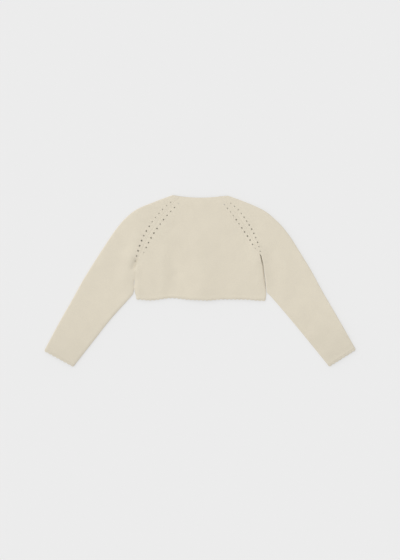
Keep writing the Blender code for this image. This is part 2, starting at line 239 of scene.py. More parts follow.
LEFT = Side(
    name="left",
    sign=-1,
    dip_share=0.14,
    back_raglan=Curve((-48, 204), (-84, 167), (-114.5, 126), (-133, 93), (-148, 58), (-156, 38)),
    front_raglan=Curve((-57, 184), (-88, 153), (-115.5, 118), (-134, 86), (-148, 56), (-156, 38)),
    body_edge=Curve(
        (-156, 38), (-157.9, 14), (-159, -8), (-159, -17), (-157.7, -22), (-157.2, -27),
        (-155.2, -32), (-154.4, -37),
    ),
    sleeve_edge=Curve(
        (-156, 38), (-158.5, 14), (-159.6, -8), (-159.8, -17), (-160, -22), (-160.9, -27),
        (-162.6, -31.4), (-166.4, -36.3), (-175.5, -46.6), (-216.7, -92.7), (-254.6, -140.9),
        (-301.5, -200.8),
    ),
    shoulder=Curve(
        (-67, 207), (-111, 190.5), (-154.3, 172), (-183.5, 148), (-204.5, 122.6), (-222, 97),
        (-240, 69.5), (-259, 39.8), (-282, 2.6), (-308.6, -45.6), (-336.5, -94.3), (-372.8, -162.1),
    ),
    back_eyelets=Eyelets(
        15.5, 13.5, start=9.5, middle=8.3, end=7.4,
        radii=(1.05, 1.45, 1.35, 1.45, 1.75, 1.35, 1.75, 1.95, 1.95, 1.65, 1.55, 0.95),
    ),
    sleeve_eyelets=Eyelets(
        26.7, 12.6, start=6.2, middle=10.2, end=4.4,
        radii=(1.15, 0.95, 1.15, 1.15, 1.05, 1.2, 1.7, 1.75, 1.55, 1.85, 1.95, 1.8, 1.65, 1.5),
    ),
    body_side=(
        Turn(0, 0.2, 0.8, 1.8, 10, 4, 0), Turn(10, 1.0, 0.99, 0.3, 5, 3, 0),
        Turn(30, 1.0, 0.99, 0.3, 5, 3, 0), Turn(37, -0.4, 0.7, 0.9, 5, 3.5, 0),
        Turn(44, -0.4, 0.7, 1.0, 5, 3.5, 0), Turn(50, 0.6, 0.95, 0.9, 5, 4, 0),
        Turn(55, 0.4, 0.85, 1.1, 5, 4, 0), Turn(60, 0.0, 0.65, 1.3, 6, 5, 0),
        Turn(80, 0.0, 0.5, 1.6, 8, 5, 0),
    ),
    sleeve_side=(
        Turn(0, 0.2, 0.8, 0.6, 6, 4, 0), Turn(10, 0.4, 0.99, 0.2, 8, 3, 0),
        Turn(30, 0.4, 0.99, 0.4, 8, 3, 0), Turn(37, -0.4, 0.7, 0.7, 6, 4, 0),
        Turn(44, -0.4, 0.7, 0.7, 6, 4, 0), Turn(50, 0.4, 0.9, 0.9, 6, 4, 0),
        Turn(55, 0.3, 0.8, 1.1, 6, 5, 0), Turn(60, 0.0, 0.65, 1.4, 6, 5, 0),
        Turn(90, -0.3, 0.5, 1.4, 4, 4.5, 0),
    ),
    shoulder_turn=Turn(0, 0.0, 0.5, 0.4, 8, 4.0, 0),
)
RIGHT = Side(
    name="right",
    sign=1,
    dip_share=0.06,
    back_raglan=Curve((48, 204), (81, 170), (105, 136), (123, 107), (136.5, 79.5), (145, 60)),
    front_raglan=Curve((57, 184), (85, 154), (107, 124), (124, 98), (137.5, 74.5), (145, 60)),
    body_edge=Curve(
        (145, 60), (150.3, 36), (153.8, 8), (156.6, -18), (157.6, -30), (157, -37), (156.2, -41),
    ),
    sleeve_edge=Curve(
        (145, 60), (151.1, 36), (155, 8), (158, -16), (160, -27), (165.5, -32.5), (179.2, -47.8),
        (218.8, -94.2), (267.6, -153.4), (283.7, -173.2), (305.6, -200.4),
    ),
    shoulder=Curve(
        (67, 205.4), (111.5, 189), (148.4, 172.4), (164.5, 161.8), (177, 150.8), (190.8, 137.8),
        (214, 109.1), (236.7, 73.3), (266, 25.5), (291.7, -22), (320, -70.5), (347.8, -119),
        (370.6, -159.4),
    ),
    back_eyelets=Eyelets(
        20.4, 12.0, start=8.0, middle=9.4, end=5.4,
        radii=(1.3, 1.3, 1.1, 1.0, 1.75, 1.15, 1.7, 1.6, 1.85, 1.5, 1.5, 0.95),
    ),
    sleeve_eyelets=Eyelets(
        29.4, 11.15, start=5.6, middle=9.4, end=2.8,
        radii=(1.0, 1.2, 1.25, 1.0, 1.5, 1.35, 1.6, 1.65, 1.6, 1.35, 1.5, 1.1, 1.1),
    ),
    body_side=(
        Turn(0, -0.9, 0.5, 0.4, 12, 2.0, 1.9), Turn(19, -0.6, 0.5, 1.3, 14, 2.5, 1.5),
        Turn(35, -0.8, 0.5, 1.7, 14, 2.7, 1.6), Turn(46, -1.0, 0.5, 2.0, 14, 2.7, 1.8),
        Turn(55, -1.0, 0.5, 2.4, 14, 3.2, 1.8), Turn(62, -0.5, 0.5, 2.8, 14, 5, 1.2),
        Turn(72, -0.4, 0.5, 2.8, 13, 5.5, 0.8), Turn(95, 0.0, 0.5, 2.2, 13, 5.5, 0),
    ),
    sleeve_side=(
        Turn(0, -0.8, 0.55, 0.0, 10, 1.6, 0), Turn(19, -0.45, 0.55, 0.0, 10, 1.8, 0),
        Turn(46, -0.7, 0.55, 0.2, 10, 1.9, 0), Turn(55, -0.6, 0.55, 0.4, 10, 2.3, 0),
        Turn(62, 0.0, 0.55, 0.8, 10, 3.5, 0), Turn(72, 0.2, 0.55, 1.2, 10, 4, 0),
        Turn(100, 0.0, 0.5, 1.6, 10, 5, 0),
    ),
    shoulder_turn=Turn(0, -0.3, 0.5, 0.0, 8, 2.2, 0),
)

# How far the back's hem drops under the line between its corners
HEM_WAVES = (
    Wave(-160, 0.7), Wave(-122, 2.9), Wave(-68, -3.1), Wave(-18, 0.7), Wave(14, 1.4),
    Wave(60, -1.9), Wave(102, -2.0), Wave(146, 0.4), Wave(160, 0.4),
)

# The main troughs (rise below 0) and ridges of the upper layer, as in the solids
CREASES = (
    Crease(-62, 70, -70, -38, reach=19, rise=-1.3),
    Crease(-4, 100, -10, -34, reach=26, rise=0.7),
    Crease(54, 30, 62, -36, reach=20, rise=-0.3),
    Crease(-252, 10, -232, -36, reach=14, rise=-0.7),
    Crease(246, 14, 222, -40, reach=15, rise=-0.7),
    Crease(172, 70, 176, -8, reach=14, rise=-0.8),
    Crease(-192, 108, -178, 60, reach=13, rise=-0.6),
)
# More that only the looks have: on the back, on the sleeves, and on the fronts, which show
# theirs from below
BACK_CREASES = (
    Crease(-66, 40, -70, -46, reach=16, rise=-1.4),
    Crease(-6, 100, 5, -46, reach=25, rise=1.6),
    Crease(28, 90, 24, -46, reach=30, rise=0.9),
    Crease(-54, 14, -45, -46, reach=16, rise=-1.9),
    Crease(0, 18, 4, -46, reach=24, rise=1.9),
    Crease(-158, 26, -158.5, 12, reach=9, rise=1.2),
    Crease(-150, 30, -149, -40, reach=7, rise=0.7),
    Crease(-104, -4, -110, -40, reach=8, rise=-0.6),
    Crease(-48, -8, -52, -44, reach=6, rise=0.4),
    Crease(18, 140, 10, 90, reach=20, rise=0.4),
    Crease(122, 42, 132, -14, reach=10, rise=-0.5),
    Crease(-160, 54, -163, 22, reach=7, rise=-1.2),
    Crease(-150, 112, -164, 62, reach=17, rise=2.2),
    Crease(132, 84, 139.3, 54, reach=16, rise=2.8),
)
SLEEVE_CREASES = (
    Crease(-150, 112, -164, 62, reach=17, rise=2.2),
    Crease(-174, 58, -176, 10, reach=14, rise=1.8),
    Crease(-154, 51, -161, 33, reach=6, rise=-3.4),
    Crease(-158, 26, -158.5, 12, reach=9, rise=1.2),
    Crease(132, 84, 152, 2, reach=16, rise=2.8),
    Crease(142, 50, 147, 26, reach=16, rise=1.2),
    Crease(-150, 150, -176, 112, reach=15, rise=0.5),
    Crease(-236, 44, -216, -6, reach=11, rise=0.5),
    Crease(-292, -60, -262, -104, reach=13, rise=-0.7),
    Crease(-334, -128, -306, -170, reach=11, rise=0.5),
    Crease(150, 148, 178, 104, reach=15, rise=0.5),
    Crease(214, 62, 196, 4, reach=12, rise=0.5),
    Crease(288, -62, 258, -108, reach=14, rise=-0.6),
    Crease(338, -126, 306, -168, reach=12, rise=0.5),
)
FRONT_CREASES = (
    Crease(-112, 60, -122, -30, reach=12, rise=0.8),
    Crease(-46, 96, -38, 10, reach=14, rise=0.6),
    Crease(38, 70, 30, -34, reach=13, rise=0.7),
    Crease(98, 96, 108, 24, reach=11, rise=0.6),
)

# A low swell all over the upper layer: wave length along x and y, phase and height
SWELLS = (
    (71.0, -93.0, 0.4, 0.10), (-47.0, 61.0, 2.1, 0.07), (33.0, 118.0, 4.0, 0.05),
    (140.0, 39.0, 5.2, 0.06), (-29.0, -37.0, 1.3, 0.03),
)


def smooth_step(share):
    """0 below 0, 1 above 1, and an S between."""
    share = np.clip(share, 0.0, 1.0)
    return share * share * (3 - 2 * share)


def hem_drop(x):
    """The hem's drop at x, eased from wave to wave."""
    drop = np.full_like(x, HEM_WAVES[-1].drop)
    for start, end in reversed(list(zip(HEM_WAVES, HEM_WAVES[1:]))):
        share = smooth_step((x - start.x) / (end.x - start.x))
        drop = np.where(x <= end.x, start.drop + (end.drop - start.drop) * share, drop)
    return drop


def crease_rise(creases, plan):
    """How far soft creases move the cloth at plan points."""
    rise = np.zeros(plan.shape[:-1])
    for crease in creases:
        start = np.array((crease.x0, crease.y0), dtype=float)
        run = np.array((crease.x1, crease.y1)) - start
        share = np.clip((plan - start) @ run / (run @ run), 0, 1)
        off = plan - start - share[..., None] * run
        rise += crease.rise * np.exp(-(off**2).sum(-1) / crease.reach**2)
    return rise


def swell(plan):
    """How far the low swell moves the cloth at plan points."""
    rise = np.zeros(plan.shape[:-1])
    for length_x, length_y, phase, height in SWELLS:
        turn = plan[..., 0] / length_x + plan[..., 1] / length_y
        rise += height * np.sin(math.tau * turn + phase)
    return rise


# One edge of many rows of cloth: where each row ends, how far it folds, from 0, a cut edge,
# to 1, a round fold, and the values of its turn there
Edge = namedtuple("Edge", "xy fold level drop fade radius")
# Many rows of cloth by their two edges. fullness is 0 at a free edge of the cloth and 1 inside.
Rows = namedtuple("Rows", "start end fullness")
# Where rows lie: below the underarm or above it, and their share of that stretch, counted
# away from the neck
Places = namedtuple("Places", "below share")


def body_places(below, above):
    """Rows from the hem to the neck."""
    under = 1 - np.concatenate([[0, HEM_STEP], np.arange(1, below + 1) / below])
    share = np.concatenate([under, 1 - np.arange(1, above + 1) / above])
    return Places(np.arange(len(share)) < len(under), share)


def sleeve_places(above, below):
    """Rows from the neck to the cuff."""
    under = np.concatenate([np.arange(below) / below, [1 - HEM_STEP, 1]])
    share = np.concatenate([np.arange(above) / above, under])
    return Places(np.arange(len(share)) >= above, share)


HEM = Places(np.array([True]), np.array([1.0]))


def dip_at(side, places):
    """How far the edge has sunk into the underarm."""
    dip = smooth_step((places.share - 1 + side.dip_share) / side.dip_share)
    return np.where(places.below, 1.0, dip)


def pick(places, below, above):
    """Points on one curve below the underarm and on another above it."""
    return np.where(places.below[:, None], below.at(places.share), above.at(places.share))


def row_fullness(places, length):
    """How full rows lie. length is that of the edge below the underarm."""
    near_hem = smooth_step((1 - places.share) * length / EDGE_FALL)
    return np.where(places.below, near_hem, smooth_step(places.share / NECK_FALL))


def climbed(places):
    """Each row's share of the way from the hem to the neck, as the solids' rows climb."""
    above = 1 - places.share * (1 - UNDERARM_CLIMB)
    return np.where(places.below, (1 - places.share) * UNDERARM_CLIMB, above)


def unit(vectors):
    return vectors / np.linalg.norm(vectors, axis=-1, keepdims=True)


def turned_edge(side, places, below, above, turns, outward, low_lip=False):
    """An edge of a panel: a curve below the underarm and a seam above it."""
    distance = np.where(places.below, places.share, 0.0) * below.length
    along, *columns = zip(*turns)
    reach, level, drop, fade, radius, lip = (np.interp(distance, along, c) for c in columns)
    dip = dip_at(side, places)
    past = SEAM_LAP * (1 - dip) + (reach + lip * low_lip) * dip**SLIT_ONSET
    xy = pick(places, below, above) + outward * past[:, None]
    return Edge(xy, dip, level, drop, fade, radius)


def moved(edge, step):
    """An edge shifted in plan."""
    return edge._replace(xy=edge.xy + step)


def back_rows(places, past_hem=0.0):
    """Rows of the back, from its left edge to its right edge."""
    left = pick(places, LEFT.body_edge, LEFT.back_raglan)
    right = pick(places, RIGHT.body_edge, RIGHT.back_raglan)
    across = unit(right - left)
    down = np.array((0, -past_hem))
    start, end = (
        turned_edge(side, places, side.body_edge, side.back_raglan, side.body_side, outward)
        for side, outward in ((LEFT, -across), (RIGHT, across))
    )
    fullness = row_fullness(places, RIGHT.body_edge.length)
    return Rows(moved(start, down), moved(end, down), fullness)


def front_rows(side, places, past_hem=0.0):
    """Rows of one front, from the side seam to the middle."""
    outer = pick(places, side.body_edge, side.front_raglan)
    low = (LEFT.body_edge.at(1)[1] + RIGHT.body_edge.at(1)[1]) / 2 + FRONT_HEM_LIFT
    high = side.front_raglan.at(0)[1] - FRONT_NECK_DROP
    height = low + (high - low) * climbed(places)
    middle = np.stack([np.full_like(height, side.sign * FRONT_GAP / 2), height], axis=-1)
    outward = unit(outer - middle)
    start = turned_edge(
        side, places, side.body_edge, side.front_raglan, side.body_side, outward, low_lip=True
    )
    end = start._replace(xy=middle, fold=np.zeros(len(places.share)))
    down = np.array((0, -past_hem))
    return Rows(moved(start, down), moved(end, down), row_fullness(places, side.body_edge.length))


def shoulder_share(places):
    """Each row's share of the shoulder fold, from the neck."""
    below = SHOULDER_SHARE + places.share * (1 - SHOULDER_SHARE)
    return np.where(places.below, below, places.share * SHOULDER_SHARE)


def sleeve_rows(side, places, upper, past_cuff=0.0):
    """Rows of one layer of a sleeve, from its seam to the shoulder fold."""
    raglan = side.back_raglan if upper else side.front_raglan
    seam = pick(places, side.sleeve_edge, raglan)
    shoulder = side.shoulder.at(shoulder_share(places))
    across = unit(shoulder - seam)
    onward = np.stack([across[:, 1], -across[:, 0]], axis=-1) * side.sign * past_cuff
    start = turned_edge(side, places, side.sleeve_edge, raglan, side.sleeve_side, -across)
    turn = side.shoulder_turn
    whole = np.ones(len(places.share))
    end = Edge(
        shoulder + across * turn.reach, whole, whole * turn.level, whole * turn.drop,
        whole * turn.fade, whole * turn.radius,
    )
    fullness = row_fullness(places, side.sleeve_edge.length)
    return Rows(moved(start, onward), moved(end, onward), fullness)


# Distances from an edge at which cloth is meshed closely: round a fold, and on past the eyelets
FOLD_LINES = np.linspace(0, FOLD_RADIUS, FOLD_STEPS + 1)
ZONE_LINES = np.concatenate(
    [FOLD_LINES, np.linspace(FOLD_RADIUS, SEAM_ZONE, SEAM_ZONE_STEPS + 1)[1:]]
)


def row_widths(rows):
    """The length of every row from edge to edge."""
    return np.linalg.norm(rows.end.xy - rows.start.xy, axis=1)


def columns(rows, near, steps, far):
    """Distances across every row: close steps at each edge and even steps between."""
    width = row_widths(rows)
    head = near * np.minimum(1, ZONE_SHARE * width / near[-1])[:, None]
    end = far * np.minimum(1, ZONE_SHARE * width / far[-1])[:, None]
    tail = width[:, None] - end[:, ::-1]
    share = np.linspace(0, 1, steps + 1)[1:-1]
    middle = head[:, -1:] + (tail[:, :1] - head[:, -1:]) * share
    return np.hstack([head, middle, tail])


def fold_profile(along, radius):
    """Reach and sine of a fold at distances along the cloth from its edge."""
    angle = np.clip(along / radius, 0, 1) * math.pi / 2
    reach = np.where(along < radius, radius * (1 - np.cos(angle)), along)
    return reach, np.sin(angle)


def edge_drop(edge, distance, fullness):
    """How much lower cloth lies near a fold."""
    near = np.exp(-((distance / edge.fade[:, None]) ** 2)) * edge.fold[:, None]
    return edge.drop[:, None] * near * np.maximum(fullness, THIN_AT_HEM)


# Points of cloth as a grid: plan positions, heights, each point's distance from the row's
# start and end, and how flat it lies, 0 where a fold turns over
Layer = namedtuple("Layer", "plan z from_start from_end flat")


def lay(rows, along, upper, creases, sag=0.0, relief=0.0):
    """The outer face of one layer of cloth, from rows and the distances across them."""
    start, end = rows.start, rows.end
    width = row_widths(rows)[:, None]
    across = (end.xy - start.xy) / width
    from_end = width - along
    near_end = from_end < along
    reach_start, sine_start = fold_profile(along, start.radius[:, None])
    reach_end, sine_end = fold_profile(from_end, end.radius[:, None])
    reach = np.where(near_end, width - reach_end, reach_start)
    fold, level = (
        np.where(near_end, last[:, None], first[:, None])
        for first, last in ((start.fold, end.fold), (start.level, end.level))
    )
    bend = fold * (1 - np.where(near_end, sine_end, sine_start))
    plan = start.xy[:, None] + across[:, None] * reach[..., None]
    plan[..., 1] -= sag
    fullness = rows.fullness[:, None]
    slack = EDGE_SLACK + (1 - EDGE_SLACK) * np.sqrt(fullness)
    height = EDGE_HEIGHT + (FULL_HEIGHT - EDGE_HEIGHT) * fullness
    height = height - edge_drop(start, along, fullness) - edge_drop(end, from_end, fullness)
    if upper:
        height = height + (crease_rise(CREASES, plan) + crease_rise(creases, plan)) * slack
        lift = swell(plan) * fullness + relief
        z = height - height * (1 - level) * bend + lift * (1 - bend)
    else:
        z = height * level * bend + crease_rise(creases, plan) * fullness * (1 - bend)
    return Layer(plan, z, along, from_end, 1 - bend)


def seam_sink(distance, fold):
    """The soft channel in which a seam lies, gone where the edge is a fold."""
    return -SEAM_SINK * np.exp(-((distance / SEAM_REACH) ** 2)) * (1 - fold)


def edge_roll(places, below, above):
    """How far the cloth rises at a hem or cuff and turns down at the neck, for every row."""
    from_hem = (1 - places.share) * below.length / HEM_SWELL_REACH
    from_neck = places.share * above.length / NECK_ROLL_REACH
    rise = np.where(
        places.below, HEM_SWELL * np.exp(-(from_hem**2)), -NECK_ROLL * np.exp(-(from_neck**2))
    )
    return rise[:, None]


def eyelet_centres(side, eyelets, outward):
    """Centres and radii of a row of eyelets. outward is 1 on the sleeve, -1 on the back."""
    count = len(eyelets.radii)
    share = (eyelets.first + eyelets.pitch * np.arange(count)) / side.back_raglan.length
    turn = np.linspace(-1, 1, count)
    bow = (eyelets.start + eyelets.end) / 2 - eyelets.middle
    away = eyelets.middle + (eyelets.end - eyelets.start) / 2 * turn + bow * turn**2
    direction = side.back_raglan.direction(share)
    out = np.stack([-direction[:, 1], direction[:, 0]], axis=-1)
    out *= np.where(out[:, :1] * side.sign < 0, -1, 1)
    centres = side.back_raglan.at(share) + out * outward * away[:, None]
    return [(centre, radius) for centre, radius in zip(centres, eyelets.radii)]


def eyelet_rims(plan, eyelets):
    """The slight ring of cloth round each eyelet."""
    rise = np.zeros(plan.shape[:-1])
    for centre, radius in eyelets:
        away = np.linalg.norm(plan - centre, axis=-1) - radius - EYELET_RIM_REACH
        rise += EYELET_RIM * np.exp(-((away / EYELET_RIM_REACH) ** 2))
    return rise


def grid_faces(rows, columns_count):
    """Corner numbers of the quads of a grid."""
    number = np.arange(rows * columns_count).reshape(rows, columns_count)
    corners = (number[:-1, :-1], number[:-1, 1:], number[1:, 1:], number[1:, :-1])
    return np.stack([corner.ravel() for corner in corners], axis=1)


def open_holes(points, faces, holes, lowest):
    """Takes out the faces inside each round hole, and draws the faces round it to its rim.

    Only faces above the lowest height go, so that a hole is in the upper layer alone.
    """
    kept = np.ones(len(faces), dtype=bool)
    middles = points[faces].mean(axis=1)
    sides = np.linalg.norm(points[faces[:, 0]] - points[faces[:, 2]], axis=1)
    for centre, radius in holes:
        distance = np.linalg.norm(middles[:, :2] - centre, axis=1)
        near = np.where((distance < radius * HOLE_SEARCH) & (middles[:, 2] > lowest))[0]
        if len(near) == 0:
            continue
        last = min(HOLE_FACES, len(near)) - 1
        least = np.partition(distance[near], last)[last] + HOLE_TIE
        full = radius - sides[near].mean() * HOLE_MARGIN
        inside = near[distance[near] <= max(full, least)]
        kept[inside] = False
        gone = np.unique(faces[inside])
        around = np.unique(faces[kept & np.isin(faces, gone).any(axis=1)])
        rim = np.intersect1d(gone, around)
        run = points[rim, :2] - centre
        points[rim, :2] = centre + unit(run) * radius
    return points, faces[kept]


def make_piece(name, points, uv, faces, material, flip=False):
    """A thin closed shell of cloth under an outer face. flip turns that face over."""
    used = np.unique(faces)
    place = np.full(len(points), -1)
    place[used] = np.arange(len(used))
    faces = place[faces]
    if flip:
        faces = faces[:, ::-1]
    mesh = bpy.data.meshes.new(f"{name}_knit")
    mesh.from_pydata((points[used] * MM).tolist(), [], faces.tolist())
    layer = mesh.uv_layers.new(name="Knit")
    loops = np.empty(len(mesh.loops), dtype=np.int32)
    mesh.loops.foreach_get("vertex_index", loops)
    layer.data.foreach_set("uv", (uv[used][loops] * MM).ravel())
    mesh.shade_smooth()
    mesh.materials.append(material)
    piece = bpy.data.objects.new(f"{name}_knit", mesh)
    bpy.context.scene.collection.objects.link(piece)
    shell = piece.modifiers.new("shell", "SOLIDIFY")
    shell.thickness = SHELL * MM
    shell.offset = -1
    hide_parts(name)
    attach(piece, BODY)
    return piece


def plan_area(plan):
    """Flat area of a grid of cloth, in square metres."""
    a, b, c, d = plan[:-1, :-1], plan[:-1, 1:], plan[1:, 1:], plan[1:, :-1]
    first, second = c - a, d - b
    doubled = np.abs(first[..., 0] * second[..., 1] - first[..., 1] * second[..., 0])
    return doubled.sum() / 2 * MM**2


def raised(plan, z):
    """A grid of points from their plan positions and heights."""
    return np.concatenate([plan, z[..., None]], axis=-1)


def ring(upper, lower):
    """One grid from those of two layers that meet at their rows' ends."""
    return np.concatenate([upper, lower[:, -2::-1]], axis=1)


def panel_sag(places, rows, along, neck_sag):
    """The drop of a panel's rows: the hem's wave fades upwards, the neck's curve downwards."""
    share = along / row_widths(rows)[:, None]
    x = rows.start.xy[:, :1] + (rows.end.xy - rows.start.xy)[:, :1] * share
    rise = climbed(places)[:, None]
    hem = hem_drop(x) * (1 - rise) ** HEM_FADE
    return hem + neck_sag * 4 * share * (1 - share) * rise**NECK_FADE


def make_back(material):
    places = body_places(*BACK_ROWS)
    rows = back_rows(places)
    along = columns(rows, ZONE_LINES, BACK_COLUMNS, ZONE_LINES)
    sag = panel_sag(places, rows, along, BACK_NECK_SAG)
    holes = []
    for side in (LEFT, RIGHT):
        holes += eyelet_centres(side, side.back_eyelets, -1)
    base = lay(rows, along, True, BACK_CREASES, sag)
    relief = seam_sink(base.from_start, dip_at(LEFT, places)[:, None])
    relief += seam_sink(base.from_end, dip_at(RIGHT, places)[:, None])
    relief += edge_roll(places, RIGHT.body_edge, RIGHT.back_raglan)
    relief += eyelet_rims(base.plan, holes)
    layer = lay(rows, along, True, BACK_CREASES, sag, relief)
    uv = layer.plan.copy()
    uv[..., 1] += sag
    faces = grid_faces(*layer.z.shape)
    points = raised(layer.plan, layer.z).reshape(-1, 3)
    points, faces = open_holes(points, faces, holes, EYELET_LOWEST)
    piece = make_piece("back", points, uv.reshape(-1, 2), faces, material)
    return piece, plan_area(layer.plan)


def make_front(side, material):
    places = body_places(*FRONT_ROWS)
    rows = front_rows(side, places)
    along = columns(rows, FOLD_LINES, FRONT_COLUMNS, FOLD_LINES)
    sag = panel_sag(places, rows, along, FRONT_NECK_SAG)
    layer = lay(rows, along, False, FRONT_CREASES, sag)
    uv = layer.plan.copy()
    uv[..., 1] += sag
    points = raised(layer.plan, layer.z).reshape(-1, 3)
    piece = make_piece(
        f"front_{side.name}", points, uv.reshape(-1, 2), grid_faces(*layer.z.shape), material,
        flip=side.sign < 0,
    )
    return piece, plan_area(layer.plan)


def sleeve_uv(side, layer, places, upper):
    """Knit coordinates of a sleeve: across from the shoulder fold, and along it."""
    share = shoulder_share(places)
    origin = side.shoulder.at(share)[:, None]
    onward = side.shoulder.direction(share)
    off = layer.plan - origin
    along = share[:, None] * side.shoulder.length + (off * onward[:, None]).sum(-1)
    across = off[..., 0] * onward[:, None, 1] - off[..., 1] * onward[:, None, 0]
    return np.stack([across * (1 if upper else -1), along], axis=-1)


def make_sleeve(side, material):
    places = sleeve_places(*SLEEVE_ROWS)
    holes = eyelet_centres(side, side.sleeve_eyelets, 1)
    fold = dip_at(side, places)[:, None]
    grids, uvs, area = [], [], 0.0
    for upper in (True, False):
        rows = sleeve_rows(side, places, upper)
        along = columns(rows, ZONE_LINES if upper else FOLD_LINES, SLEEVE_COLUMNS, FOLD_LINES)
        layer = lay(rows, along, upper, SLEEVE_CREASES if upper else ())
        if upper:
            relief = seam_sink(layer.from_start, fold) + eyelet_rims(layer.plan, holes)
            relief += edge_roll(places, side.sleeve_edge, side.back_raglan)
            layer = lay(rows, along, upper, SLEEVE_CREASES, 0.0, relief)
        grids.append(raised(layer.plan, layer.z))
        uvs.append(sleeve_uv(side, layer, places, upper))
        area += plan_area(layer.plan)
    grid = ring(*grids)
    uv = ring(*uvs).reshape(-1, 2)
    faces = grid_faces(*grid.shape[:2])
    points, faces = open_holes(grid.reshape(-1, 3), faces, holes, EYELET_LOWEST)
    piece = make_piece(f"sleeve_{side.name}", points, uv, faces, material, flip=side.sign > 0)
    return piece, area


def corner_cut(along):
    """How much a round corner takes off the edging, at distances along it from its end."""
    short = np.maximum(CORNER_RADIUS - fold_profile(along, FOLD_RADIUS)[0], 0)
    return CORNER_RADIUS - np.sqrt(CORNER_RADIUS**2 - short**2)


def edging_layer(row_at, upper, creases, sag_at):
    """One layer of scalloped edging, past a hem or a cuff, and the dips between scallops.

    row_at gives the cloth's last row at a distance past it, and sag_at the row's drop.
    """
    rim, past = row_at(0.0), row_at(1.0)
    width = row_widths(rim)[0]
    count = round(width / SCALLOP_PITCH)
    along = np.linspace(0, width, count * SCALLOP_STEPS + 1)[None]
    layer = lay(rim, along, upper, creases, sag_at(rim, along))
    share = (along / width)[0][:, None]
    start_step, end_step = past.start.xy - rim.start.xy, past.end.xy - rim.end.xy
    onward = start_step * (1 - share) + end_step * share
    arch = np.abs(np.sin(np.pi * along / width * count))[0]
    corner = corner_cut(np.minimum(along, width - along))[0]
    deepest = EDGING_DEPTH - SCALLOP_DEPTH * (1 - arch) - corner
    plans, heights = [], []
    for line in EDGING_LINES:
        plans.append(layer.plan[0] + onward * (deepest * line)[:, None])
        puff = EDGING_PUFF * arch * math.sin(math.pi * min(line * EDGING_PUFF_LEAN, 1))
        rise = HEM_SWELL + EDGING_RISE * min(line / EDGING_RISE_SHARE, 1)
        lift = puff + rise - EDGING_FALL * line**2
        heights.append(layer.z[0] + lift * layer.flat[0] * upper)
    valleys = np.arange(1, count) * SCALLOP_STEPS
    return np.array(plans), np.array(heights), valleys


def knit_holes(plan, valleys, seed):
    """Small holes between the scallops, beside the join, uneven in size."""
    draw = np.random.default_rng(seed)
    onward = unit(plan[-1] - plan[0])
    holes = []
    for i in valleys:
        radius = PICOT_RADIUS + PICOT_SPREAD * draw.uniform(-1, 1)
        holes.append((plan[0, i] + onward[i] * PICOT_DEPTH, radius))
    return holes


def make_hem_edging(name, rows_at, upper, material, flip, seed=None):
    """The edging of one panel's hem. The upper one has small holes, drawn with a seed."""

    def sag_at(rim, along):
        return panel_sag(HEM, rim, along, 0.0)

    creases = BACK_CREASES if upper else FRONT_CREASES
    plan, z, valleys = edging_layer(lambda past: rows_at(HEM, past), upper, creases, sag_at)
    points = raised(plan, z).reshape(-1, 3)
    faces = grid_faces(*z.shape)
    if upper:
        holes = knit_holes(plan, valleys, seed)
        points, faces = open_holes(points, faces, holes, PICOT_LOWEST)
    return make_piece(name, points, plan.reshape(-1, 2), faces, material, flip)


def make_cuff_edging(side, material, seed):
    """The edging all round a cuff, with small holes in its upper layer."""
    grids = []
    for upper in (True, False):
        plan, z, valleys = edging_layer(
            lambda past, upper=upper: sleeve_rows(side, HEM, upper, past), upper,
            SLEEVE_CREASES, lambda rim, along: 0.0,
        )
        if upper:
            holes = knit_holes(plan, valleys, seed)
        grids.append(raised(plan, z))
    grid = ring(*grids)
    uv = grid[..., :2].reshape(-1, 2).copy()
    faces = grid_faces(*grid.shape[:2])
    points, faces = open_holes(grid.reshape(-1, 3), faces, holes, PICOT_LOWEST)
    name = f"cuff_edging_{side.name}"
    return make_piece(name, points, uv, faces, material, flip=side.sign > 0)


class Tree:
    """Short calls for a material's nodes."""

    def __init__(self, name):
        self.material = bpy.data.materials.new(name)
        self.material.use_nodes = True
        self.nodes = self.material.node_tree.nodes
        self.shader = self.nodes["Principled BSDF"]

    def link(self, source, target):
        self.material.node_tree.links.new(source, target)

    def node(self, kind, **settings):
        node = self.nodes.new(kind)
        for key, value in settings.items():
            setattr(node, key, value)
        return node

    def math(self, operation, *values):
        node = self.node("ShaderNodeMath", operation=operation)
        for socket, value in zip(node.inputs, values):
            if isinstance(value, (int, float)):
                socket.default_value = value
            else:
                self.link(value, socket)
        return node.outputs[0]

    def add(self, *values):
        return self.math("ADD", *values)

    def times(self, *values):
        return self.math("MULTIPLY", *values)

    def noise(self, vector, scale, seed, detail):
        node = self.node("ShaderNodeTexNoise", noise_dimensions="4D")
        node.inputs["Scale"].default_value = scale
        node.inputs["W"].default_value = seed
        node.inputs["Detail"].default_value = detail
        self.link(vector, node.inputs["Vector"])
        return node.outputs["Fac"]

    def uneven(self, vector, scale, seed, detail, strength):
        """Noise about 0."""
        noise = self.noise(vector, scale, seed, detail)
        return self.times(self.math("SUBTRACT", noise, 0.5), strength)

    def finish(self, values):
        for name, value in values.items():
            self.shader.inputs[name].default_value = value


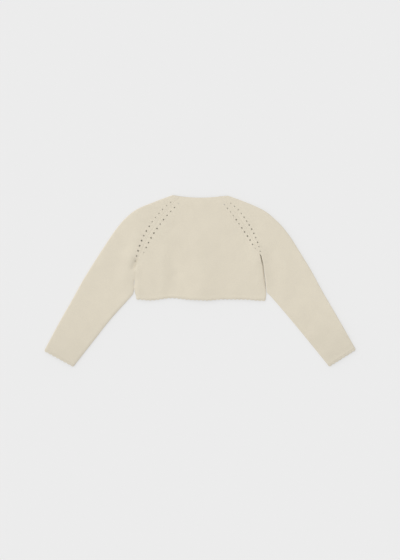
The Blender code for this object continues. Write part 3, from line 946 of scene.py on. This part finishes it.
def stitch_height(tree, knit, place, stitch, seed, sideways):
    """Stockinette, columns of V stitches that lie a little unevenly: 0 in its valleys."""
    split = tree.node("ShaderNodeSeparateXYZ")
    tree.link(knit, split.inputs[0])
    across, along = split.outputs[0], split.outputs[1]
    if sideways:
        across, along = along, across
    wale, course = stitch
    drift = tree.uneven(place, DRIFT_NOISE, seed, detail=1.0, strength=DRIFT)
    wales = tree.add(tree.math("DIVIDE", across, wale * MM), tree.times(drift, WALE_DRIFT))
    courses = tree.add(tree.math("DIVIDE", along, course * MM), drift)
    leg = tree.times(tree.math("PINGPONG", wales, 0.5), 2.0)
    slanted = tree.add(courses, tree.times(leg, LEG_SLANT))
    wave = tree.math("SINE", tree.times(slanted, math.tau))
    wave = tree.add(tree.times(wave, 0.5), 0.5)
    strand = tree.math("POWER", tree.math("SINE", tree.times(leg, math.pi)), STRAND_POWER)
    return tree.times(strand, tree.add(tree.times(wave, STITCH_WAVE), 1 - STITCH_WAVE))


def painted_falloff_shade(tree, place, painted_falloff):
    """Painted shade: how much darker the colour is made towards the cuffs, where less light falls.
    """
    split = tree.node("ShaderNodeSeparateXYZ")
    tree.link(place, split.inputs[0])
    low = tree.node("ShaderNodeMapRange", interpolation_type="SMOOTHSTEP")
    tree.link(split.outputs[1], low.inputs["Value"])
    low.inputs["From Min"].default_value = PAINTED_FALLOFF_END
    low.inputs["From Max"].default_value = PAINTED_FALLOFF_START
    low.inputs["To Min"].default_value = painted_falloff
    low.inputs["To Max"].default_value = 0.0
    return low.outputs["Result"]


def knit_material(name, stitch, seed, painted_falloff=PAINTED_FALLOFF_SHADE, sideways=False):
    """A matt cream knit, with painted shade towards the cuffs and between its strands. Its stitches
    follow the piece's own map, which is in metres.
    """
    tree = Tree(name)
    knit = tree.node("ShaderNodeUVMap", uv_map="Knit").outputs[0]
    place = tree.node("ShaderNodeTexCoord").outputs["Object"]
    height = stitch_height(tree, knit, place, stitch, seed, sideways)
    nap = tree.times(tree.noise(place, NAP_NOISE, seed + NAP_SEED, detail=2.0), NAP)
    bump = tree.node("ShaderNodeBump")
    bump.inputs["Strength"].default_value = BUMP_STRENGTH
    bump.inputs["Distance"].default_value = BUMP_DISTANCE * MM
    tree.link(tree.add(height, nap), bump.inputs["Height"])
    tree.link(bump.outputs[0], tree.shader.inputs["Normal"])

    # painted shade towards the cuffs, plus the knit's own uneven mottles
    tone_and_painted_shade = painted_falloff_shade(tree, place, painted_falloff)
    for mottle in MOTTLES:
        uneven = tree.uneven(
            place, mottle.scale, seed + mottle.seed, mottle.detail, mottle.strength
        )
        tone_and_painted_shade = tree.add(tone_and_painted_shade, uneven)
    # painted shade in the valleys between strands
    valley = tree.times(tree.math("SUBTRACT", height, VALLEY_SHADE_LEVEL), VALLEY_PAINTED_SHADE)
    tone_and_painted_shade = tree.add(tree.add(tone_and_painted_shade, valley), 1.0)
    shade = tree.node("ShaderNodeVectorMath", operation="SCALE")
    shade.inputs[0].default_value = CREAM
    tree.link(tone_and_painted_shade, shade.inputs["Scale"])
    tree.link(shade.outputs[0], tree.shader.inputs["Base Color"])
    tree.finish(KNIT_FINISH)
    return tree.material


def make_floor():
    mesh = bpy.data.meshes.new("floor")
    around = ((-1, -1), (1, -1), (1, 1), (-1, 1))
    corners = [(x * FLOOR_REACH, y * FLOOR_REACH, 0) for x, y in around]
    mesh.from_pydata(corners, [], [(0, 1, 2, 3)])
    floor = bpy.data.objects.new("floor", mesh)
    floor.location.z = -FLOOR_DROP * MM
    bpy.context.scene.collection.objects.link(floor)
    tree = Tree("pale_floor")
    place = tree.node("ShaderNodeTexCoord").outputs["Object"]
    grain = tree.uneven(place, FLOOR_GRAIN_NOISE, seed=1.0, detail=3.0, strength=FLOOR_GRAIN)
    tree.link(tree.add(grain, FLOOR_TONE), tree.shader.inputs["Base Color"])
    tree.finish(FLOOR_FINISH)
    mesh.materials.append(tree.material)


def make_lights():
    """A white studio that is brighter on one side, and a wide soft lamp from there."""
    world = bpy.data.worlds.new("studio")
    bpy.context.scene.world = world
    world.use_nodes = True
    nodes, links = world.node_tree.nodes, world.node_tree.links
    background = nodes["Background"]
    background.inputs["Color"].default_value = (1.0, 1.0, 1.0, 1.0)
    place = nodes.new("ShaderNodeTexCoord")
    lean = nodes.new("ShaderNodeVectorMath")
    lean.operation = "DOT_PRODUCT"
    lean.inputs[1].default_value = WORLD_LEAN
    links.new(place.outputs["Generated"], lean.inputs[0])
    strength = nodes.new("ShaderNodeMath")
    strength.operation = "MULTIPLY_ADD"
    links.new(lean.outputs["Value"], strength.inputs[0])
    strength.inputs[1].default_value = WORLD_LIGHT
    strength.inputs[2].default_value = WORLD_LIGHT
    links.new(strength.outputs[0], background.inputs["Strength"])
    lamp = bpy.data.lights.new("window", "SUN")
    lamp.energy = SUN_LIGHT
    lamp.angle = math.radians(SUN_ANGLE)
    window = bpy.data.objects.new("window", lamp)
    window.rotation_euler = Vector(SUN_FROM).to_track_quat("Z", "Y").to_euler()
    bpy.context.scene.collection.objects.link(window)


def make_camera():
    """A long lens straight above the garment."""
    camera = bpy.data.cameras.new("camera")
    camera.lens = LENS
    camera.sensor_width = SENSOR
    camera.clip_end = CLIP_END
    shown = bpy.data.objects.new("camera", camera)
    away = PICTURE_HEIGHT / 2 * LENS / (SENSOR / 2)
    shown.location = (PICTURE_MIDDLE[0] * MM, PICTURE_MIDDLE[1] * MM, away * MM)
    bpy.context.scene.collection.objects.link(shown)
    bpy.context.scene.camera = shown


def main():
    body_knit = knit_material("knit_body", CLOTH_STITCH, seed=1.0)
    sleeve_knit = {
        "left": knit_material("knit_sleeve_left", CLOTH_STITCH, seed=21.0),
        # the right sleeve's copy of the knit has more painted shade, as it lies farther from the
        # window
        "right": knit_material(
            "knit_sleeve_right_more_painted_shade", CLOTH_STITCH, seed=41.0, painted_falloff=RIGHT_PAINTED_FALLOFF_SHADE
        ),
    }
    edging_knit = knit_material("knit_edging", EDGING_STITCH, seed=61.0, sideways=True)

    back, area = make_back(body_knit)
    hem = make_hem_edging("hem_edging_back", back_rows, True, edging_knit, flip=True, seed=3)

    for side, cuff_seed in ((LEFT, 11), (RIGHT, 12)):
        front, area = make_front(side, body_knit)
        hem = make_hem_edging(
            f"hem_edging_front_{side.name}",
            lambda places, past=0.0, side=side: front_rows(side, places, past),
            False, edging_knit, flip=side.sign > 0,
        )
        sleeve, area = make_sleeve(side, sleeve_knit[side.name])
        cuff = make_cuff_edging(side, edging_knit, cuff_seed)
    make_floor()
    make_lights()
    make_camera()
    bpy.context.scene.view_settings.view_transform = "Standard"


main()
